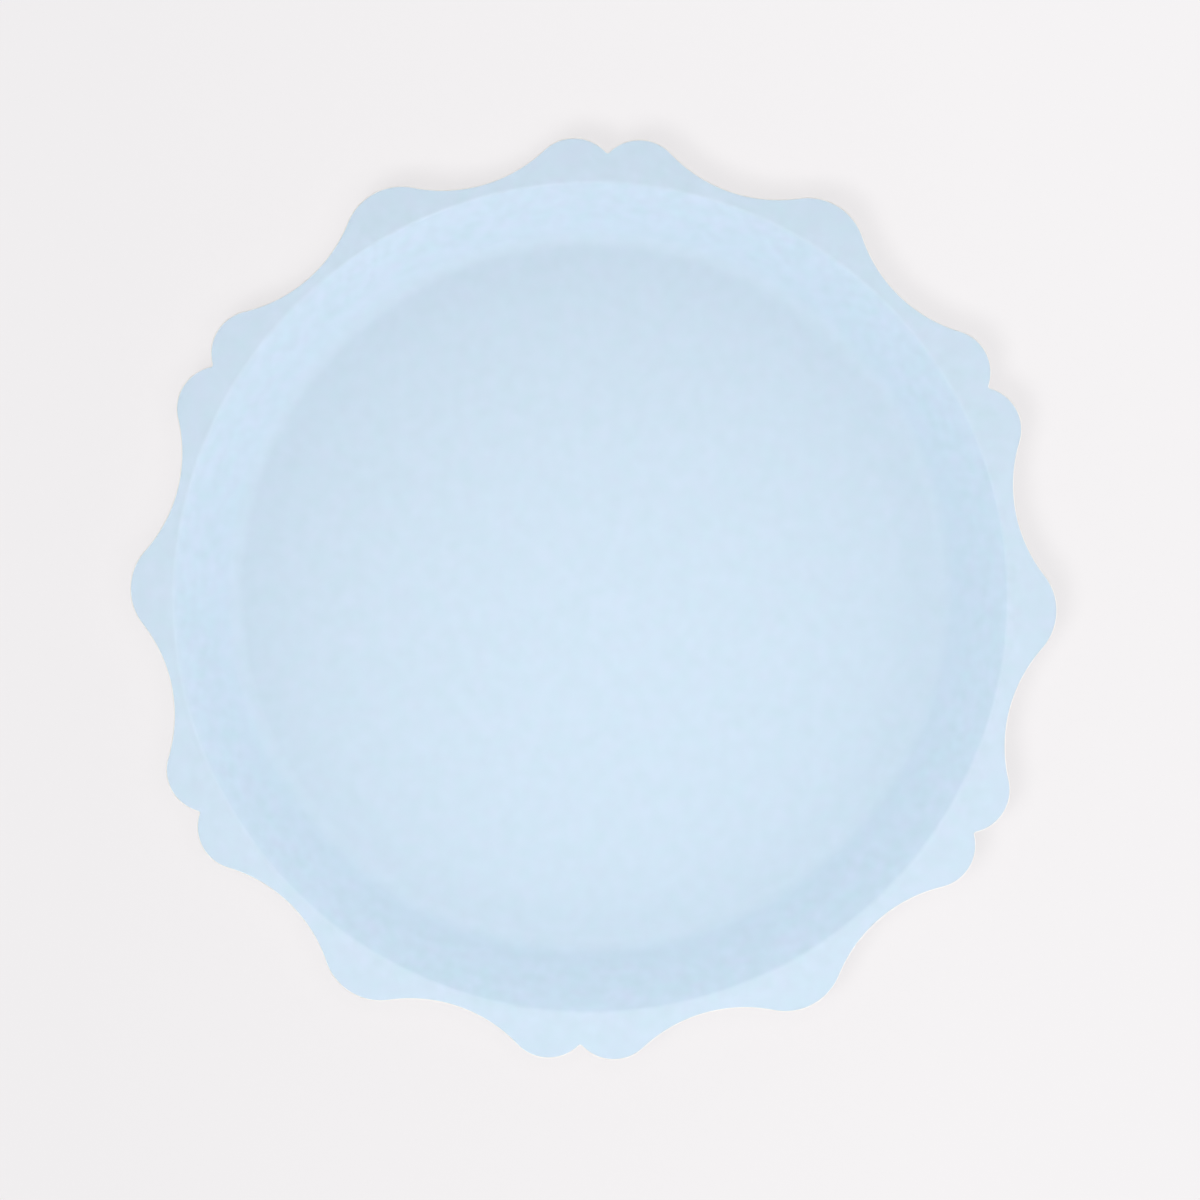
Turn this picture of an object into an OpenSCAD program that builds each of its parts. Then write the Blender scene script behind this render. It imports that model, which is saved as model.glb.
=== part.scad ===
// Scalloped dessert plate, press-formed from one die-cut blank of laminated paperboard.
// The origin is the centre of the underside of the well. +Z is up, and +X points at a single lobe.

/* [Scalloped outline] */
// Width of the plate between the tips of two opposite single lobes
plate_w = 203; // [160:1:260]
// How far the hollows between the lobes cut in from the circle through the tips
hollow_depth = 7.1; // [5:0.1:10]
// Radius of each single lobe
lobe_r = 12.6; // [9:0.1:15]
// Radius of each lobe of a pair
pair_r = 9.4; // [8:0.1:12]
// Distance between the centres of the two lobes of a pair
pair_gap = 14.3; // [10:0.1:15]
// Radius at the bottom of the notch between the two lobes of a pair
notch_r = 0.6; // [0.3:0.1:1.5]
// How many times the single lobe and the pair repeat round the plate
repeats = 6; // [5:1:7]

/* [Pressed dish] */
// Depth of the dish from the top of the rim to the top of the well
dish_depth = 14; // [8:0.5:20]
// Width of the rim at the bottom of a hollow, measured from the corner of the rim and the wall
rim_w = 3.3; // [2.5:0.1:8]
// How far the sloping wall reaches inwards, seen from above
wall_run = 12.9; // [10:0.1:20]
// Radius of the bend from the well into the wall, on the face side
well_bend_r = 6; // [4:0.5:10]
// Radius of the bend from the wall into the rim, on the face side
rim_bend_r = 1.5; // [1.5:0.5:5]

/* [Layers of the board] */
// Thickness of the clear food-safe film on the face
film_t = 0.05; // [0.03:0.01:0.1]
// Thickness of the coloured face sheet
face_t = 0.1; // [0.08:0.01:0.2]
// Thickness of the white board that gives the plate its stiffness
core_t = 0.35; // [0.3:0.05:0.8]
// Thickness of the white liner on the back
liner_t = 0.1; // [0.08:0.01:0.2]

/* [Smoothness] */
// Largest step along the outline's arcs, in degrees
outline_step = 6; // [3:1:12]
// Steps along each bend of the dish
bend_steps = 8; // [4:1:16]

/* [Hidden] */
$fn = 180;

// Stack of the layers, as depths below the face of the plate
film_top = 0;
face_top = film_top + film_t;
core_top = face_top + face_t;
liner_top = core_top + core_t;
board_t = liner_top + liner_t;

// Circles that the outline touches
tip_circle_r = plate_w / 2;
root_circle_r = tip_circle_r - hollow_depth;
half_sector = 180 / repeats;

// Single lobe on the +X axis, and the lobe of the pair that shares the same half sector
lobe_c = [tip_circle_r - lobe_r, 0];
pair_reach = tip_circle_r - pair_r;
pair_a = half_sector - asin(pair_gap / 2 / pair_reach);
pair_c = pair_reach * unit(pair_a);

// Notch circle on the half sector's edge, touching both lobes of the pair
notch_reach = sqrt(pair_reach ^ 2 - (pair_gap / 2) ^ 2) + sqrt((pair_r + notch_r) ^ 2 - (pair_gap / 2) ^ 2);
notch_c = notch_reach * unit(half_sector);

// Hollow between the lobes: the circle that touches both of them and the root circle from outside.
// Its centre lies on hollow_start + hollow_r * hollow_way, and hollow_r solves a quadratic.
hollow_start = meet(lobe_c, touch_term(lobe_c, lobe_r), pair_c, touch_term(pair_c, pair_r));
hollow_way = meet(lobe_c, root_circle_r - lobe_r, pair_c, root_circle_r - pair_r);
quad_a = hollow_way * hollow_way - 1;
quad_b = 2 * (hollow_start * hollow_way - root_circle_r);
quad_c = hollow_start * hollow_start - root_circle_r ^ 2;
hollow_r = (-quad_b - sqrt(quad_b ^ 2 - 4 * quad_a * quad_c)) / (2 * quad_a);
hollow_c = hollow_start + hollow_r * hollow_way;

// Levels and corners of the dish's face, seen in section
well_z = board_t;
rim_z = well_z + dish_depth;
rim_corner_r = root_circle_r - rim_w;
well_corner_r = rim_corner_r - wall_run;
wall_a = atan2(dish_depth, wall_run);
well_bend_c = [well_corner_r - well_bend_r * tan(wall_a / 2), well_z + well_bend_r];
rim_bend_c = [rim_corner_r + rim_bend_r * tan(wall_a / 2), rim_z - rim_bend_r];

// How far the shape that is turned and the shape that cuts it run past the plate
overrun = plate_w / 100;

// Colours of the layers
film_colour = [0.86, 0.93, 0.98, 0.35];
face_colour = [0.8, 0.88, 0.95];
core_colour = [0.96, 0.95, 0.92];
liner_colour = [0.97, 0.97, 0.96];

// Unit vector at angle a
function unit(a) = [cos(a), sin(a)];

// Point p turned by angle a about the origin
function turned(p, a) = [p.x * cos(a) - p.y * sin(a), p.x * sin(a) + p.y * cos(a)];

// Direction from one point to another, in degrees
function heading(from, to) = atan2(to.y - from.y, to.x - from.x);

// Point p at which p * a = s and p * b = t
function meet(a, s, b, t) = [s * b.y - t * a.y, t * a.x - s * b.x] / (a.x * b.y - a.y * b.x);

// Part of the touching condition of a lobe that doesn't depend on the hollow's radius
function touch_term(c, r) = (c * c - r ^ 2 + root_circle_r ^ 2) / 2;

// Points along an arc, in steps no larger than the outline's step
function arc(c, r, from, to, steps = 0) =
    let (count = steps > 0 ? steps : ceil(abs(to - from) / outline_step))
    [for (i = [0 : count]) c + r * unit(from + (to - from) * i / count)];

// A list without its first point
function tail(points) = [for (i = [1 : len(points) - 1]) points[i]];

// Directions in which each arc of the outline hands over to the next
lobe_end_a = heading(lobe_c, hollow_c);
pair_start_a = heading(pair_c, hollow_c);
pair_end_a = heading(pair_c, notch_c);

// Half a sector of the outline, from the tip of the single lobe to the bottom of the notch
half_outline = concat(
    arc(lobe_c, lobe_r, 0, lobe_end_a),
    tail(arc(hollow_c, hollow_r, lobe_end_a + 180, pair_start_a + 180)),
    tail(arc(pair_c, pair_r, pair_start_a, pair_end_a)),
    tail(arc(notch_c, notch_r, pair_end_a + 180, half_sector + 180))
);

// One sector is the half outline and its mirror image across the single lobe, less the notch point
// that it shares with the next sector
sector = concat(
    [for (i = [len(half_outline) - 1 : -1 : 1]) [half_outline[i].x, -half_outline[i].y]],
    [for (i = [0 : len(half_outline) - 2]) half_outline[i]]
);

// The whole outline, one point list
outline = [for (k = [0 : repeats - 1]) for (p = sector) turned(p, 2 * half_sector * k)];

// Section of the dish's face at a depth below it, from the axis to past the rim
function section(depth) = concat(
    [[0, well_z - depth]],
    arc(well_bend_c, well_bend_r + depth, -90, wall_a - 90, bend_steps),
    arc(rim_bend_c, rim_bend_r - depth, wall_a + 90, 90, bend_steps),
    [[tip_circle_r + overrun, rim_z - depth]]
);

// Section of one layer, between its top and its underside
function layer_section(top, thick) =
    let (under = section(top + thick))
    concat(section(top), [for (i = [len(under) - 1 : -1 : 0]) under[i]]);

// One layer of the board, pressed with the others and cut through with them by the same knife
module layer(top, thick) {
    intersection() {
        rotate_extrude()
            polygon(layer_section(top, thick));
        translate([0, 0, -overrun])
            linear_extrude(rim_z + 2 * overrun)
                polygon(outline);
    }
}

module barrier_film() {
    color(film_colour)
        layer(film_top, film_t);
}

module face_sheet() {
    color(face_colour)
        layer(face_top, face_t);
}

module board_core() {
    color(core_colour)
        layer(core_top, core_t);
}

module back_liner() {
    color(liner_colour)
        layer(liner_top, liner_t);
}

barrier_film();
face_sheet();
board_core();
back_liner();
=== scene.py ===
# Scalloped dessert plate of pressed paperboard: how its four bonded layers look.
import math

import bmesh
import bpy
from mathutils import Matrix, Vector, noise


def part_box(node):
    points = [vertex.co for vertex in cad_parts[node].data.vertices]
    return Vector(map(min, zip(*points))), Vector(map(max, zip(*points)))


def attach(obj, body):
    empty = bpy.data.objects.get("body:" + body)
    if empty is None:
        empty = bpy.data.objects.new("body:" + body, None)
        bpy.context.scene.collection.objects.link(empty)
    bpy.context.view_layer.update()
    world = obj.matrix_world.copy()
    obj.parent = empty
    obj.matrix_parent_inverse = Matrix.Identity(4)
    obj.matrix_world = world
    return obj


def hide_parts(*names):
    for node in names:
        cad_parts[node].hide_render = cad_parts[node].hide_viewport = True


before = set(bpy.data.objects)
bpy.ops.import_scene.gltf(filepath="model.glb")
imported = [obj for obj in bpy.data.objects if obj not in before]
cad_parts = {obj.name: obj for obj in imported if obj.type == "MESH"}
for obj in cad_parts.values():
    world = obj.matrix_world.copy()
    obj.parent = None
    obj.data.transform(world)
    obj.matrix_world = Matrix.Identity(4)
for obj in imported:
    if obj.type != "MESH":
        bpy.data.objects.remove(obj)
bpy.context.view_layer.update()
print("frame loaded with nodes", sorted(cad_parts))

mm = 0.001
weld = 0.001 * mm
up = Vector((0, 0, 1))

# Levels of the layers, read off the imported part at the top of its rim
layerNodes = ["barrier_film", "face_sheet", "board_core", "back_liner"]
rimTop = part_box("barrier_film")[1].z
layerTops = [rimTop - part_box(node)[1].z for node in layerNodes]
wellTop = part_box("barrier_film")[0].z + layerTops[1]
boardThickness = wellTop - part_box("back_liner")[0].z
layerTops.append(boardThickness)
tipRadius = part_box("board_core")[1].x


def unit(angle):
    return Vector((math.cos(angle), math.sin(angle), 0))


def heading(start, end):
    return math.atan2(end.y - start.y, end.x - start.x)


def vertsOf(geom):
    return [g for g in geom if isinstance(g, bmesh.types.BMVert)]


def swing(bm, start, centre, sweep, steps):
    # Draws a flat arc from a vertex and gives back the vertex at its end
    spun = bmesh.ops.spin(bm, geom=[start], cent=centre, axis=up, angle=sweep, steps=steps)
    return vertsOf(spun["geom_last"])[0]


outline = {  # the die's line, sizes in mm
    "hollowDepth": 7.1,
    "lobeRadius": 12.6,
    "pairRadius": 9.4,
    "pairGap": 14.3,
    "notchRadius": 0.6,
    "repeats": 6,
    "offCentre": (0.6, -0.29),  # how far the knife cut off the dish's centre
    "lobeSteps": 22,
    "hollowSteps": 38,
    "pairSteps": 28,
    "notchSteps": 8,
    "rimRows": [0.05, 0.1, 0.2, 0.45],  # widths of the narrow rows inside the cut edge
}


def touchingCircle(a, aRadius, b, bRadius, coreRadius):
    # Centre of the circle that touches the circles round a and b, and the core circle, from outside
    aTerm = (a.dot(a) - aRadius**2 + coreRadius**2) / 2
    bTerm = (b.dot(b) - bRadius**2 + coreRadius**2) / 2
    rows = Matrix((a.xy, b.xy)).inverted()
    start = rows @ Vector((aTerm, bTerm))
    way = rows @ Vector((coreRadius - aRadius, coreRadius - bRadius))
    square = way.dot(way) - 1
    linear = 2 * (start.dot(way) - coreRadius)
    constant = start.dot(start) - coreRadius**2
    radius = (-linear - math.sqrt(linear**2 - 4 * square * constant)) / (2 * square)
    return (start + radius * way).to_3d()


def cutOutline(bm):
    # Half a sector is drawn as four touching arcs, mirrored across the lobe and turned round the plate
    halfSector = math.pi / outline["repeats"]
    lobeRadius = outline["lobeRadius"] * mm
    pairRadius = outline["pairRadius"] * mm
    notchRadius = outline["notchRadius"] * mm
    halfGap = outline["pairGap"] * mm / 2
    lobe = Vector((tipRadius - lobeRadius, 0, 0))
    pairReach = tipRadius - pairRadius
    pair = pairReach * unit(halfSector - math.asin(halfGap / pairReach))
    notchReach = math.sqrt(pairReach**2 - halfGap**2)
    notchReach += math.sqrt((pairRadius + notchRadius) ** 2 - halfGap**2)
    notch = notchReach * unit(halfSector)
    hollow = touchingCircle(lobe, lobeRadius, pair, pairRadius, tipRadius - outline["hollowDepth"] * mm)
    lobeEnd, pairStart, pairEnd = heading(lobe, hollow), heading(pair, hollow), heading(pair, notch)

    tip = bmesh.ops.create_vert(bm, co=(tipRadius, 0, 0))["vert"][0]
    tip = swing(bm, tip, lobe, lobeEnd, outline["lobeSteps"])
    tip = swing(bm, tip, hollow, pairStart - lobeEnd, outline["hollowSteps"])
    tip = swing(bm, tip, pair, pairEnd - pairStart, outline["pairSteps"])
    swing(bm, tip, notch, halfSector - pairEnd, outline["notchSteps"])
    bmesh.ops.mirror(bm, geom=bm.verts[:] + bm.edges[:], axis="Y", merge_dist=weld)
    sector = bm.verts[:] + bm.edges[:]
    for turn in range(1, outline["repeats"]):
        copied = vertsOf(bmesh.ops.duplicate(bm, geom=sector)["geom"])
        bmesh.ops.rotate(bm, verts=copied, matrix=Matrix.Rotation(2 * halfSector * turn, 3, "Z"))
    bmesh.ops.remove_doubles(bm, verts=bm.verts, dist=weld)


def scallopedRim(bm):
    # The flat rim: the outline is filled, inset row by row, and opened for the dish
    cutOutline(bm)
    plate = bmesh.ops.contextual_create(bm, geom=bm.edges[:])["faces"][0]
    if plate.normal.z < 0:
        bmesh.ops.reverse_faces(bm, faces=[plate])
    fromEdge = bm.verts.layers.float.new("fromEdge")
    inset = 0
    for width in outline["rimRows"]:
        bmesh.ops.inset_region(bm, faces=[plate], thickness=width * mm, use_even_offset=True, use_boundary=True)
        inset += width * mm
        for v in plate.verts:
            v[fromEdge] = inset
    inner = plate.edges[:]
    bmesh.ops.delete(bm, geom=[plate], context="FACES_ONLY")
    return inner


dish = {  # the pressed dish, sizes in mm
    "rimWidth": 3.3,
    "wallRun": 12.9,
    "rimBendRadius": 1.5,
    "wellBendRadius": 6,
    "rimBendSteps": 6,
    "wallSteps": 8,
    "wellBendSteps": 9,
    "wellRows": [66, 57, 46, 32, 16],  # radii of the rows across the well
}


def bend(centre, radius, start, sweep, steps):
    return [centre + radius * unit(start + sweep * step / steps) for step in range(steps + 1)]


def dishSection():
    # Section of the dish's face from the rim inwards, x outwards and y up: a bend, the wall and a wider bend
    rimCorner = tipRadius - (outline["hollowDepth"] + dish["rimWidth"]) * mm
    wellCorner = rimCorner - dish["wallRun"] * mm
    slope = math.atan2(rimTop - wellTop, dish["wallRun"] * mm)
    rimBend, wellBend = dish["rimBendRadius"] * mm, dish["wellBendRadius"] * mm
    rimCentre = Vector((rimCorner + rimBend * math.tan(slope / 2), rimTop - rimBend, 0))
    wellCentre = Vector((wellCorner - wellBend * math.tan(slope / 2), wellTop + wellBend, 0))
    upper = bend(rimCentre, rimBend, math.pi / 2, slope, dish["rimBendSteps"])
    lower = bend(wellCentre, wellBend, slope - math.pi / 2, -slope, dish["wellBendSteps"])
    wall = [upper[-1].lerp(lower[0], step / dish["wallSteps"]) for step in range(1, dish["wallSteps"])]
    return upper + wall + lower


def pressDish(bm, rimEdge):
    # The rim's inner edge is extruded ring by ring down the wall, each ring set to its radius and height
    ring = rimEdge
    for point in dishSection():
        grown = bmesh.ops.extrude_edge_only(bm, edges=ring)["geom"]
        for v in vertsOf(grown):
            v.co = v.co.xy.normalized().to_3d() * point.x + up * point.y
        ring = [e for e in grown if isinstance(e, bmesh.types.BMEdge) and e.is_boundary]
    return ring


def closeWell(bm, wellEdge):
    # Each row across the flat well has half as many faces as the one outside it, and a fan closes the last
    for radius in dish["wellRows"]:
        share = radius * mm / wellEdge[0].verts[0].co.xy.length
        row = vertsOf(bmesh.ops.extrude_edge_only(bm, edges=wellEdge)["geom"])
        bmesh.ops.scale(bm, verts=row, vec=(share, share, 1))
        row.sort(key=lambda v: math.atan2(v.co.y, v.co.x))
        inRow = set(row)
        spokes = [e for v in row[1::2] for e in v.link_edges if e.other_vert(v) not in inRow]
        kept = row[::2]
        bmesh.ops.dissolve_edges(bm, edges=spokes, use_verts=True)
        wellEdge = list(dict.fromkeys(e for v in kept for e in v.link_edges if e.is_boundary))
    middle = bmesh.ops.contextual_create(bm, geom=wellEdge)["faces"]
    bmesh.ops.poke(bm, faces=middle)


def pressedFace():
    # The face of the whole plate as one open sheet, which every layer is offset from
    bm = bmesh.new()
    rimEdge = scallopedRim(bm)
    offCentre = Vector((*outline["offCentre"], 0)) * mm
    bmesh.ops.translate(bm, verts=bm.verts, vec=up * rimTop + offCentre)
    closeWell(bm, pressDish(bm, rimEdge))
    bmesh.ops.translate(bm, verts=bm.verts, vec=-offCentre)
    bmesh.ops.recalc_face_normals(bm, faces=bm.faces)
    if max(bm.faces, key=lambda f: f.calc_area()).normal.z < 0:
        bmesh.ops.reverse_faces(bm, faces=bm.faces)
    return bm


waves = {  # how far the pressed board strays from its true shape, sizes in mm
    "rimHeight": 0.12,
    "rimWaves": 1.4,
    "rimRadius": 85,  # where the rim's wave begins, growing out to the tips
    "pleatDepth": 0.08,
    "pleatWidth": 2.4,
    "pleatWander": 900,  # the larger, the straighter each pleat runs down the wall
    "pleatRadii": [77, 85, 90, 95],  # where the pleats begin, are full, start to fade and end
    "footShadeRadii": [70.5, 74.5, 75.5, 80],  # the ring at the wall's foot painted darker: painted shade in the corner between well and wall
    "upperWallShadeRadii": [79, 91, 92, 94],  # and up the wall towards the rim's bend, painted darker: painted shade on the upper wall
    "wellHeight": 0.06,
    "wellWidth": 34,
    "wellRadii": [38.5, 77],  # between which the well's unevenness fades
    "seed": 7.3,
}


def ramp(low, high, value):
    share = min(max((value - low) / (high - low), 0), 1)
    return share * share * (3 - 2 * share)


def within(radii, value):
    # Rises from the first radius to the second and falls from the third to the fourth
    return ramp(radii[0], radii[1], value) * (1 - ramp(radii[2], radii[3], value))


def noiseShare(place):
    # Noise from 0 to 1
    return (noise.noise(place) + 1) / 2


def unevenness(co):
    # Offset of a point of the true face: a slow wave in the rim, faint pleats in the wall, a calm well
    radius = co.xy.length / mm
    around = Vector((co.x, co.y, 0)).normalized() if radius > 0 else Vector()
    seed = Vector((0, 0, waves["seed"]))
    pleatCount = waves["pleatRadii"][1] / waves["pleatWidth"]
    pleatPlace = around * pleatCount + seed * (1 + radius / waves["pleatWander"])
    wave = (noiseShare(around * waves["rimWaves"] + seed) - 1) * waves["rimHeight"]
    pleat = (noiseShare(pleatPlace) - 1) * waves["pleatDepth"]
    calm = noiseShare(co / (waves["wellWidth"] * mm) + seed) * waves["wellHeight"]
    rimShare = ramp(waves["rimRadius"], tipRadius / mm, radius)
    wellShare = 1 - ramp(*waves["wellRadii"], radius)
    pleatShare = within(waves["pleatRadii"], radius)
    # The rings of painted shade: darker at the wall's foot and towards the top of the wall
    shadeShare = within(waves["footShadeRadii"], radius) + within(waves["upperWallShadeRadii"], radius)
    return (wave * rimShare + calm * wellShare) * mm, pleat * pleatShare * mm, pleatShare, shadeShare


def pressedUnevenly(bm):
    # Lifts and pleats the face, and keeps the wall's share for the paper's pattern and the rings of painted
    # shade
    bm.normal_update()
    for name in ("pressed", "paintedShade"):
        bm.verts.layers.float.new(name)
    pressed, paintedShade = bm.verts.layers.float["pressed"], bm.verts.layers.float["paintedShade"]
    offsets = []
    for v in bm.verts:
        lift, pleat, v[pressed], v[paintedShade] = unevenness(v.co)
        offsets.append(up * lift + v.normal * pleat)
    for v, offset in zip(bm.verts, offsets):
        v.co += offset
    bm.normal_update()


cutEdge = {  # what the knife leaves along the outline, sizes in mm
    "reach": 0.35,  # how far in from the cut the board is crushed
    "crush": 0.04,  # how far the face is pressed down at the cut
    "nip": 0.38,  # how far the back is pressed up
    "flare": 0.26,  # how far the back stands out past the face, which leaves the board's white edge in sight
    "flareShares": (0.15, 0.85),  # of the thickness, between which the edge slopes out
    "glueGap": 0.004,
    "sharpAngle": 40,  # degrees between two faces from which their edge is shaded sharp
}


def layerShell(face, top, bottom):
    # One layer between two depths below the face: its two sides follow the face and meet at the cut
    bm = face.copy()
    fromEdge = bm.verts.layers.float["fromEdge"]
    reach = cutEdge["reach"] * mm
    crushedFrom = tipRadius - outline["hollowDepth"] * mm - reach
    normals = [v.normal.copy() for v in bm.verts]
    upper = bm.verts[:]
    copied = bmesh.ops.duplicate(bm, geom=bm.verts[:] + bm.edges[:] + bm.faces[:])
    lower = [copied["vert_map"][v] for v in upper]
    lowerFaces = [g for g in copied["geom"] if isinstance(g, bmesh.types.BMFace)]
    for verts, depth in ((upper, top), (lower, bottom)):
        share = depth / boardThickness
        raised = (cutEdge["nip"] * share - cutEdge["crush"] * (1 - share)) * mm
        pulledIn = cutEdge["flare"] * mm * (1 - ramp(*cutEdge["flareShares"], share))
        for v, normal in zip(verts, normals):
            v.co -= normal * depth
            rest = 1 - v[fromEdge] / reach
            if rest > 0 and v.co.xy.length > crushedFrom:
                v.co.z += raised * rest**2
                v.co.xy *= 1 - pulledIn * rest / tipRadius
    bmesh.ops.reverse_faces(bm, faces=lowerFaces)
    bmesh.ops.bridge_loops(bm, edges=[e for e in bm.edges if e.is_boundary])
    return bm


def addPiece(bm, name, node, material):
    mesh = bpy.data.meshes.new(name)
    bm.to_mesh(mesh)
    bm.free()
    mesh.shade_smooth()
    mesh.set_sharp_from_angle(angle=math.radians(cutEdge["sharpAngle"]))
    piece = bpy.data.objects.new(name, mesh)
    bpy.context.scene.collection.objects.link(piece)
    mesh.materials.append(material)
    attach(piece, "root")
    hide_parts(node)
    triangles = sum(len(p.vertices) - 2 for p in mesh.polygons)
    print(name, "made with", triangles, "triangles")
    return piece


def feed(tree, socket, value):
    # Links another node's output to a socket, or sets the socket to a number or colour
    if isinstance(value, bpy.types.NodeSocket):
        tree.links.new(value, socket)
    else:
        socket.default_value = value


def addNode(tree, kind, inputs=None, **settings):
    # A shader node with its properties set and its inputs fed
    node = tree.nodes.new(kind)
    for key, value in settings.items():
        setattr(node, key, value)
    for key, value in (inputs or {}).items():
        feed(tree, node.inputs[key], value)
    return node


def maths(tree, operation, *values):
    node = addNode(tree, "ShaderNodeMath", operation=operation)
    for socket, value in zip(node.inputs, values):
        feed(tree, socket, value)
    return node.outputs[0]


def mixedColour(tree, factor, first, second):
    node = addNode(tree, "ShaderNodeMix", {"Factor": factor}, data_type="RGBA")
    colours = [socket for socket in node.inputs if socket.type == "RGBA"]
    feed(tree, colours[0], first)
    feed(tree, colours[1], second)
    return next(socket for socket in node.outputs if socket.type == "RGBA")


def attribute(tree, name):
    return addNode(tree, "ShaderNodeAttribute", attribute_name=name).outputs["Fac"]


paperPattern = {
    "cloud": {"Detail": 4, "Roughness": 0.55},
    "drift": {"Detail": 3, "Roughness": 0.6},
    "fibre": {"Detail": 6, "Roughness": 0.7, "Distortion": 0.6},
    "grain": (0.45, 1, 1),  # fibres lie mostly along one way
    "relief": 0.1,  # height of a fibre as a share of its width
}


def paperGroup():
    # Paper's clouding and fibres, as a colour, a roughness and a height
    tree = bpy.data.node_groups.new("paperSurface", "ShaderNodeTree")
    colours = ["Tint", "Drift Tint"]
    numbers = [
        "Drift Scale", "Clouding", "Cloud Scale", "Press Marks", "Painted Shade Tone", "Fibres", "Fibre Scale",
        "Gloss Level",
    ]
    results = {"Color": "NodeSocketColor", "Roughness": "NodeSocketFloat", "Height": "NodeSocketFloat"}
    for name in colours + numbers:
        kind = "NodeSocketColor" if name in colours else "NodeSocketFloat"
        tree.interface.new_socket(name=name, in_out="INPUT", socket_type=kind)
    for name, kind in results.items():
        tree.interface.new_socket(name=name, in_out="OUTPUT", socket_type=kind)
    given = tree.nodes.new("NodeGroupInput").outputs
    place = tree.nodes.new("ShaderNodeTexCoord").outputs["Object"]
    grain = addNode(tree, "ShaderNodeMapping", {"Vector": place, "Scale": paperPattern["grain"]}).outputs[0]

    def pattern(name, where, scale):
        inputs = {"Vector": where, "Scale": given[scale], **paperPattern[name]}
        return addNode(tree, "ShaderNodeTexNoise", inputs).outputs[0]

    def aboutZero(source, amount):
        return maths(tree, "MULTIPLY", maths(tree, "SUBTRACT", source, 0.5), amount)

    cloud = pattern("cloud", place, "Cloud Scale")
    drift = pattern("drift", place, "Drift Scale")
    fibre = pattern("fibre", grain, "Fibre Scale")

    # The wall was stretched and squeezed in the press, so its clouds and drifts are stronger
    marks = maths(tree, "MULTIPLY_ADD", attribute(tree, "pressed"), given["Press Marks"], 1)
    clouding = aboutZero(cloud, maths(tree, "MULTIPLY", marks, given["Clouding"]))
    unevenTone = maths(tree, "ADD", clouding, aboutZero(fibre, given["Fibres"]))
    # Painted shade: the paper is darkened in the ring at the wall's foot and towards the top of the wall
    paintedDarkening = maths(tree, "MULTIPLY", attribute(tree, "paintedShade"), given["Painted Shade Tone"])
    tone = maths(tree, "ADD", maths(tree, "ADD", unevenTone, paintedDarkening), 1)
    drifting = maths(tree, "ADD", aboutZero(drift, marks), 0.5)
    tint = mixedColour(tree, drifting, given["Tint"], given["Drift Tint"])
    shade = addNode(tree, "ShaderNodeVectorMath", {"Scale": tone}, operation="SCALE")
    feed(tree, shade.inputs[0], tint)
    roughness = maths(tree, "ADD", unevenTone, given["Gloss Level"])
    addNode(tree, "NodeGroupOutput", {"Color": shade.outputs[0], "Roughness": roughness, "Height": fibre})
    return tree


paperSurface = paperGroup()


def newMaterial(name):
    material = bpy.data.materials.new(name)
    material.use_nodes = True
    return material, material.node_tree


def paperMaterial(name, look):
    material, tree = newMaterial(name)
    shader = tree.nodes["Principled BSDF"]
    surface = addNode(tree, "ShaderNodeGroup", node_tree=paperSurface)
    values = {
        "Tint": (*look["tint"], 1), "Drift Tint": (*look["driftTint"], 1),
        "Drift Scale": 1 / (look["driftSize"] * mm), "Clouding": look["clouding"],
        "Cloud Scale": 1 / (look["cloudSize"] * mm), "Press Marks": look["pressMarks"],
        "Painted Shade Tone": look["paintedShadeTone"], "Fibres": look["fibres"],
        "Fibre Scale": 1 / (look["fibreSize"] * mm), "Gloss Level": look["roughness"],
    }
    for key, value in values.items():
        feed(tree, surface.inputs[key], value)
    relief = {
        "Strength": look["bump"], "Distance": look["fibreSize"] * mm * paperPattern["relief"],
        "Height": surface.outputs["Height"],
    }
    feed(tree, shader.inputs["Base Color"], surface.outputs["Color"])
    feed(tree, shader.inputs["Roughness"], surface.outputs["Roughness"])
    feed(tree, shader.inputs["Normal"], addNode(tree, "ShaderNodeBump", relief).outputs["Normal"])
    shader.inputs["Specular IOR Level"].default_value = look["specular"]
    return material


def filmMaterial(name, look):
    material, tree = newMaterial(name)
    shader = tree.nodes["Principled BSDF"]
    shader.inputs["Base Color"].default_value = (*look["tint"], 1)
    shader.inputs["Roughness"].default_value = look["roughness"]
    shader.inputs["IOR"].default_value = look["ior"]
    shader.inputs["Alpha"].default_value = look["haze"]
    return material


filmLook = {"tint": (0.8, 0.86, 0.9), "roughness": 0.5, "ior": 1.49, "haze": 0.05}
faceLook = {  # matte pale blue printed paper, sizes in mm
    "tint": (0.549, 0.749, 0.857),
    "driftTint": (0.62, 0.737, 0.91),
    "driftSize": 4.5,
    "clouding": 0.09,
    "cloudSize": 2.6,
    "pressMarks": 0.8,  # how much stronger the clouds and drifts are on the wall
    "paintedShadeTone": -0.022,  # painted shade, darker at the wall's foot and towards the top of the wall
    "fibres": 0.02,
    "fibreSize": 0.4,
    "roughness": 0.62,
    "specular": 0.4,
    "bump": 0.25,
}
coreLook = {  # uncoated white board, seen only at the cut
    "tint": (0.9, 0.895, 0.885),
    "driftTint": (0.88, 0.87, 0.85),
    "driftSize": 3,
    "clouding": 0.05,
    "cloudSize": 1.5,
    "pressMarks": 0,
    "paintedShadeTone": 0,
    "fibres": 0.12,
    "fibreSize": 0.12,
    "roughness": 0.85,
    "specular": 0.2,
    "bump": 0.8,
}
linerLook = {  # matte white paper on the back
    "tint": (0.86, 0.86, 0.85),
    "driftTint": (0.85, 0.845, 0.83),
    "driftSize": 12,
    "clouding": 0.03,
    "cloudSize": 5,
    "pressMarks": 1,
    # painted shade on the back too, at the wall's foot and towards the top of the wall
    "paintedShadeTone": -0.01,
    "fibres": 0.03,
    "fibreSize": 0.35,
    "roughness": 0.78,
    "specular": 0.25,
    "bump": 0.5,
}

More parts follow.
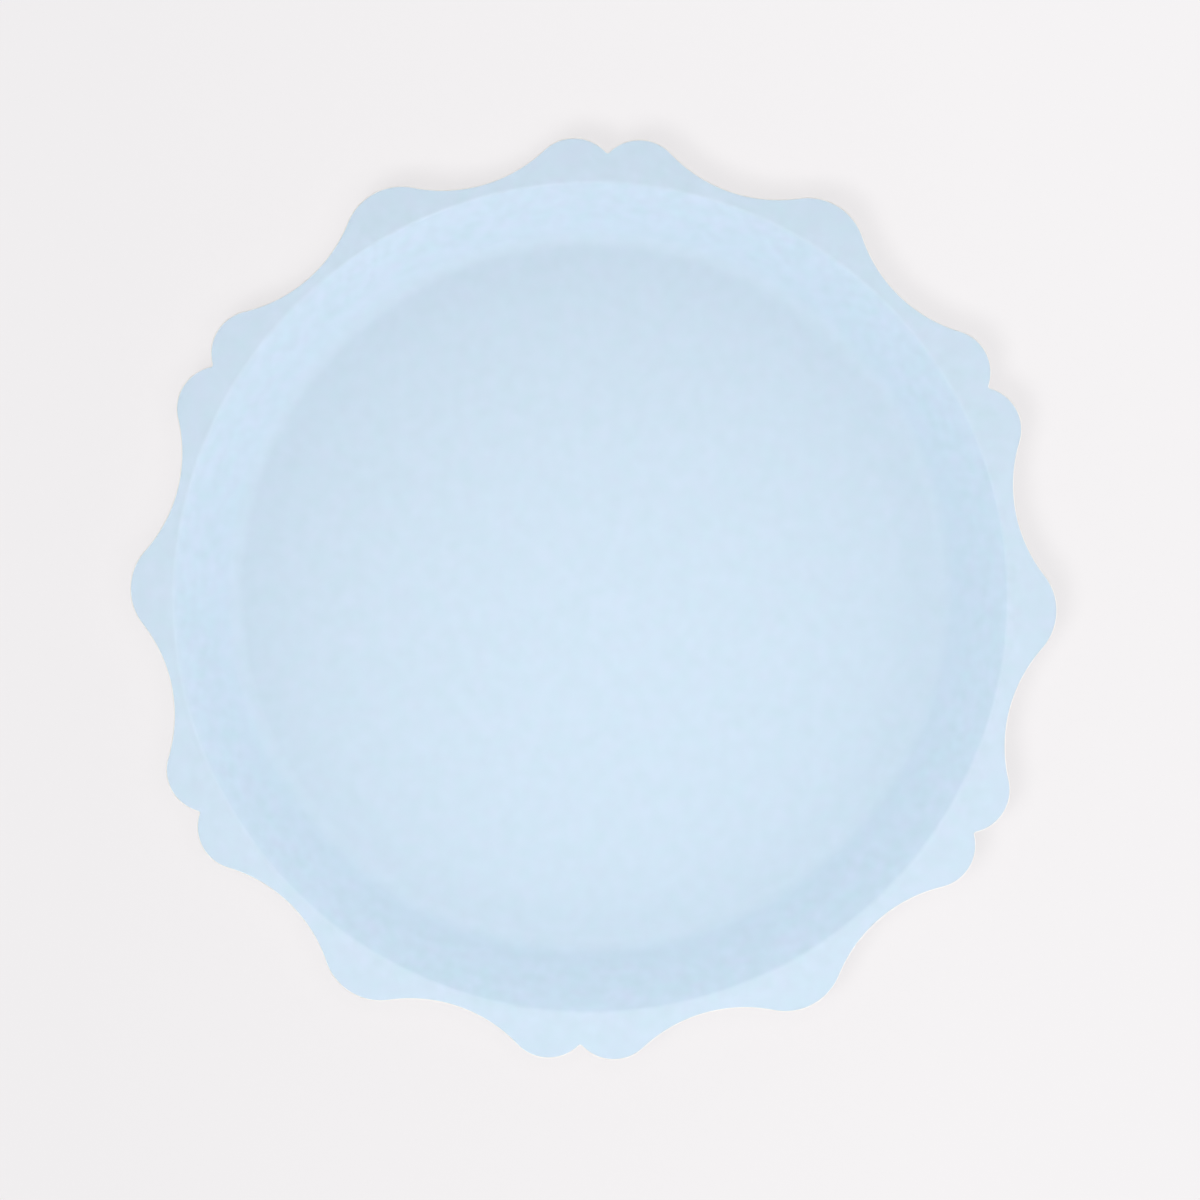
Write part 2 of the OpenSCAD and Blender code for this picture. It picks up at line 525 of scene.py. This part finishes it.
face = pressedFace()
pressedUnevenly(face)
print("face pressed with", len(face.verts), "vertices")
layers = [
    ("barrierFilm", "barrier_film", "film", filmMaterial("clearFilm", filmLook)),
    ("faceSheet", "face_sheet", "face_paper", paperMaterial("bluePaper", faceLook)),
    ("boardCore", "board_core", "board", paperMaterial("whiteBoard", coreLook)),
    ("backLiner", "back_liner", "liner_paper", paperMaterial("whitePaper", linerLook)),
]
pieces = []
for index, (name, node, slot, material) in enumerate(layers):
    glue = cutEdge["glueGap"] * mm if index + 1 < len(layers) else 0
    shell = layerShell(face, layerTops[index], layerTops[index + 1] - glue)
    pieces.append(addPiece(shell, name, node, material))
face.free()

studio = {  # sizes in metres
    "floorSize": 8,
    "floorDrop": 0.00005,  # how far the floor lies below the plate
    "floorTint": (0.89, 0.874, 0.882),
    "floorRoughness": 0.9,
    "paleLeft": (0.846, 0.829, 0.838),
    "paleRight": (0.903, 0.885, 0.894),
    "paleSpan": (-0.11, 0.08),  # along X, between which the left tone passes into the right one
    "shadowShare": 0.21,  # how much of the floor's tone takes the plate's shadow
    "horizonLight": 0.86,  # the world's strength at the horizon, fading to nothing overhead
    "lamps": {  # azimuth and elevation in degrees, distance and size, watts, colour, what it lights
        "keyLamp": (290, 82.5, 0.33, 0.2, 0.735, (1.04, 1, 0.975), "plate"),
        "lowLamp": (304, 15, 1.4, 1, 1.76, (1.38, 1, 0.95), "plate"),
        "shadowLamp": (209, 72.5, 4, 1.4, 61.4, (1, 1, 1), "floor"),
        "overheadLamp": (0, 90, 1.4, 1, 6.7, (1, 1, 1), "floor"),
    },
}


def floorMaterial():
    # Takes the plate's shadow, and shows a pale tone of its own to the camera and in reflections
    material, tree = newMaterial("paleFloor")
    diffuse = tree.nodes["Principled BSDF"]
    diffuse.inputs["Base Color"].default_value = (*studio["floorTint"], 1)
    diffuse.inputs["Roughness"].default_value = studio["floorRoughness"]
    diffuse.inputs["Specular IOR Level"].default_value = 0
    place = tree.nodes.new("ShaderNodeTexCoord")
    split = tree.nodes.new("ShaderNodeSeparateXYZ")
    feed(tree, split.inputs[0], place.outputs["Object"])
    low, high = studio["paleSpan"]
    span = {"Value": split.outputs["X"], "From Min": low, "From Max": high}
    across = addNode(tree, "ShaderNodeMapRange", span).outputs[0]
    pale = mixedColour(tree, across, (*studio["paleLeft"], 1), (*studio["paleRight"], 1))
    glow = addNode(tree, "ShaderNodeEmission", {"Color": pale})
    seen = tree.nodes.new("ShaderNodeLightPath").outputs
    direct = maths(tree, "MAXIMUM", seen["Is Camera Ray"], seen["Is Glossy Ray"])
    through = maths(tree, "MAXIMUM", direct, seen["Is Transmission Ray"])
    mixed = tree.nodes.new("ShaderNodeMixShader")
    feed(tree, mixed.inputs[0], maths(tree, "MULTIPLY", through, 1 - studio["shadowShare"]))
    feed(tree, mixed.inputs[1], diffuse.outputs[0])
    feed(tree, mixed.inputs[2], glow.outputs[0])
    feed(tree, tree.nodes["Material Output"].inputs["Surface"], mixed.outputs[0])
    return material


def addFloor():
    bm = bmesh.new()
    bmesh.ops.create_grid(bm, x_segments=1, y_segments=1, size=studio["floorSize"] / 2)
    bmesh.ops.translate(bm, verts=bm.verts, vec=-up * studio["floorDrop"])
    mesh = bpy.data.meshes.new("floor")
    bm.to_mesh(mesh)
    bm.free()
    floor = bpy.data.objects.new("floor", mesh)
    bpy.context.scene.collection.objects.link(floor)
    mesh.materials.append(floorMaterial())
    return floor


def addWorld():
    # Light from the horizon for the plate, and a plain pale tone for the camera
    world = bpy.data.worlds.new("studio")
    bpy.context.scene.world = world
    world.use_nodes = True
    tree = world.node_tree
    way = tree.nodes.new("ShaderNodeTexCoord")
    split = tree.nodes.new("ShaderNodeSeparateXYZ")
    feed(tree, split.inputs[0], way.outputs["Generated"])
    height = split.outputs["Z"]
    level = studio["horizonLight"]
    fade = maths(tree, "MULTIPLY_ADD", maths(tree, "MULTIPLY", height, height), -level, level)
    lit = tree.nodes["Background"]
    feed(tree, lit.inputs["Color"], (1, 1, 1, 1))
    feed(tree, lit.inputs["Strength"], fade)
    shown = addNode(tree, "ShaderNodeBackground", {"Color": (*studio["paleRight"], 1), "Strength": 1})
    seen = tree.nodes.new("ShaderNodeLightPath")
    mixed = tree.nodes.new("ShaderNodeMixShader")
    feed(tree, mixed.inputs[0], seen.outputs["Is Camera Ray"])
    feed(tree, mixed.inputs[1], lit.outputs[0])
    feed(tree, mixed.inputs[2], shown.outputs[0])
    feed(tree, tree.nodes["World Output"].inputs["Surface"], mixed.outputs[0])


def addLamps(lit):
    # Each lamp lights the plate or the floor alone, so that the shadow can be set apart from the shading
    for name, (azimuth, elevation, distance, size, watts, colour, target) in studio["lamps"].items():
        data = bpy.data.lights.new(name, "AREA")
        data.shape = "DISK"
        data.size = size
        data.energy = watts
        data.color = colour
        lamp = bpy.data.objects.new(name, data)
        flat = unit(math.radians(azimuth))
        way = flat * math.cos(math.radians(elevation)) + up * math.sin(math.radians(elevation))
        lamp.location = way * distance
        lamp.rotation_euler = way.to_track_quat("Z", "Y").to_euler()
        lamp.visible_camera = False
        lamp.light_linking.receiver_collection = lit[target]
        bpy.context.scene.collection.objects.link(lamp)


view = {
    "distance": 5,  # metres from the rim's middle
    "lean": (-0.03, 0.1),  # how far the camera stands off the vertical, a metre of height, along the picture
    "frameWidth": 262.4,  # mm across the picture at the rim
    "sensor": 36,
    "turn": 1.74,  # degrees
    "aim": (1.32, -0.03),  # mm from the plate's centre to the picture's centre, along the picture
}


def addCamera():
    data = bpy.data.cameras.new("camera")
    data.sensor_width = view["sensor"]
    data.lens = view["sensor"] * view["distance"] / (view["frameWidth"] * mm)
    camera = bpy.data.objects.new("camera", data)
    turn = Matrix.Rotation(math.radians(view["turn"]), 3, "Z")
    right, forward = turn @ Vector((1, 0, 0)), turn @ Vector((0, 1, 0))
    back = (up + right * view["lean"][0] + forward * view["lean"][1]).normalized()
    across = forward.cross(back).normalized()
    aim = (right * view["aim"][0] + forward * view["aim"][1]) * mm
    camera.location = aim + up * rimTop + back * view["distance"]
    camera.rotation_euler = Matrix((across, back.cross(across), back)).transposed().to_euler()
    bpy.context.scene.collection.objects.link(camera)
    bpy.context.scene.camera = camera


lit = {"plate": bpy.data.collections.new("plateLit"), "floor": bpy.data.collections.new("floorLit")}
for piece in pieces:
    lit["plate"].objects.link(piece)
lit["floor"].objects.link(addFloor())
addWorld()
addLamps(lit)
addCamera()
bpy.context.scene.view_settings.view_transform = "Standard"
print("studio set")
